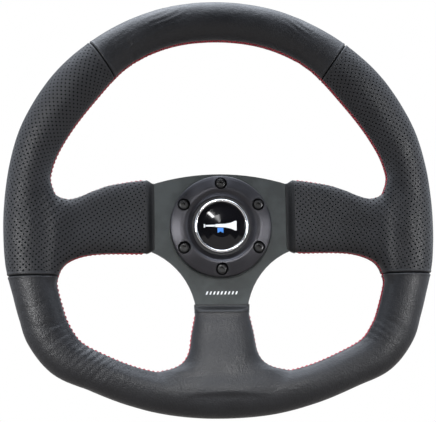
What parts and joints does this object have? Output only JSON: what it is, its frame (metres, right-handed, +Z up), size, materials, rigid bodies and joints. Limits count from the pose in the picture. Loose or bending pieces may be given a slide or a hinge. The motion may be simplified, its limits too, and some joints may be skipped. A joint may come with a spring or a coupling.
{
  "type": "quick release steering wheel",
  "caption": "Flattened three-spoke sport steering wheel with stitched leather panels, a sprung horn button and a ball-lock quick release hub behind it.",
  "frame": {"origin": "centre of the column bolt circle, on the back face of the column flange", "axes": "+Z up with the top of the rim at 12 o'clock, +X to the driver's right, +Y along the steering axis from the driver towards the column"},
  "size_m": [0.35, 0.0784, 0.3427],
  "materials": {
    "leather_smooth": "fine-grained semi-matte leather",
    "leather_perforated": "matte leather with fine round perforation",
    "leather_hem": "folded and glued leather hem",
    "thread_red": "waxed dark red lacing thread",
    "foam": "moulded polyurethane foam",
    "steel_core": "bent steel rod",
    "plate_anodised": "fine bead-blasted dark grey anodising",
    "ring_anodised": "satin dark grey anodising",
    "hub_anodised": "satin black anodising",
    "sleeve_anodised": "clear anodised, turned finish",
    "spigot_steel": "turned, zinc plated",
    "screw_black": "black oxide",
    "plastic_black": "moulded, light texture",
    "dome_black": "polished, clear coated",
    "bezel_chrome": "polished",
    "brass_contact": "bright contact metal",
    "spring_steel": "drawn wire",
    "ball_steel": "polished bearing steel",
    "seal_rubber": "matte",
    "insulator": "moulded nylon",
    "wire_insulation": "soft insulation"
  },
  "bodies": {
    "column_side": {"column_flange": "hub_anodised", "column_spigot": "spigot_steel", "spigot_dowels": "spigot_steel", "anti_rattle_ring": "seal_rubber", "contact_disc": "insulator", "contact_ring_outer": "brass_contact", "contact_ring_inner": "brass_contact"},
    "wheel": {"spoke_plate": "plate_anodised", "rim_core": "steel_core", "rim_foam": "foam", "leather_top": "leather_smooth", "leather_right": "leather_perforated", "leather_left": "leather_perforated", "leather_bottom": "leather_smooth", "hem_right": "leather_hem", "hem_left": "leather_hem", "hem_bottom": "leather_hem", "lacing_top": "thread_red", "lacing_right": "thread_red", "lacing_left": "thread_red", "horn_ring": "ring_anodised", "wheel_screws": "screw_black", "horn_housing": "plastic_black", "horn_fixed_contact": "brass_contact", "horn_terminals": "brass_contact", "horn_leads": "wire_insulation", "horn_spring": "spring_steel", "release_body": "hub_anodised", "retaining_ring": "spring_steel", "sleeve_spring": "spring_steel", "contact_carrier": "insulator", "contact_pins": "brass_contact"},
    "sleeve": {"release_sleeve": "sleeve_anodised", "sleeve_grip": "hub_anodised"},
    "horn_button": {"horn_cap": "plastic_black", "horn_moving_contact": "brass_contact", "horn_bezel": "bezel_chrome", "horn_dome": "dome_black"},
    "ball_1": {"lock_ball_1": "ball_steel"},
    "ball_2": {"lock_ball_2": "ball_steel"},
    "ball_3": {"lock_ball_3": "ball_steel"},
    "ball_4": {"lock_ball_4": "ball_steel"},
    "ball_5": {"lock_ball_5": "ball_steel"},
    "ball_6": {"lock_ball_6": "ball_steel"}
  },
  "joints": [
    {"name": "wheel_pull_off", "type": "slide", "parent": "column_side", "child": "wheel", "axis": [0, -1, 0], "range_m": [0, 0.08]},
    {"name": "sleeve_slide", "type": "slide", "parent": "wheel", "child": "sleeve", "axis": [0, -1, 0], "range_m": [0, 0.007], "stiffness_N_per_m": 1500, "springref_m": -0.005, "deforming": ["sleeve_spring"]},
    {"name": "horn_press", "type": "slide", "parent": "wheel", "child": "horn_button", "axis": [0, 1, 0], "range_m": [0, 0.0024], "stiffness_N_per_m": 2000, "springref_m": -0.0015, "deforming": ["horn_spring"]},
    {"name": "ball_1_slide", "type": "slide", "parent": "wheel", "child": "ball_1", "axis": [0, 0, 1], "range_m": [0, 0.0021]},
    {"name": "ball_2_slide", "type": "slide", "parent": "wheel", "child": "ball_2", "axis": [-0.866, 0, 0.5], "range_m": [0, 0.0021]},
    {"name": "ball_3_slide", "type": "slide", "parent": "wheel", "child": "ball_3", "axis": [-0.866, 0, -0.5], "range_m": [0, 0.0021]},
    {"name": "ball_4_slide", "type": "slide", "parent": "wheel", "child": "ball_4", "axis": [0, 0, -1], "range_m": [0, 0.0021]},
    {"name": "ball_5_slide", "type": "slide", "parent": "wheel", "child": "ball_5", "axis": [0.866, 0, -0.5], "range_m": [0, 0.0021]},
    {"name": "ball_6_slide", "type": "slide", "parent": "wheel", "child": "ball_6", "axis": [0.866, 0, 0.5], "range_m": [0, 0.0021]}
  ],
  "couplings": [
    {"joint": "ball_1_slide", "follows": "sleeve_slide", "ratio": 0.3},
    {"joint": "ball_2_slide", "follows": "sleeve_slide", "ratio": 0.3},
    {"joint": "ball_3_slide", "follows": "sleeve_slide", "ratio": 0.3},
    {"joint": "ball_4_slide", "follows": "sleeve_slide", "ratio": 0.3},
    {"joint": "ball_5_slide", "follows": "sleeve_slide", "ratio": 0.3},
    {"joint": "ball_6_slide", "follows": "sleeve_slide", "ratio": 0.3}
  ]
}
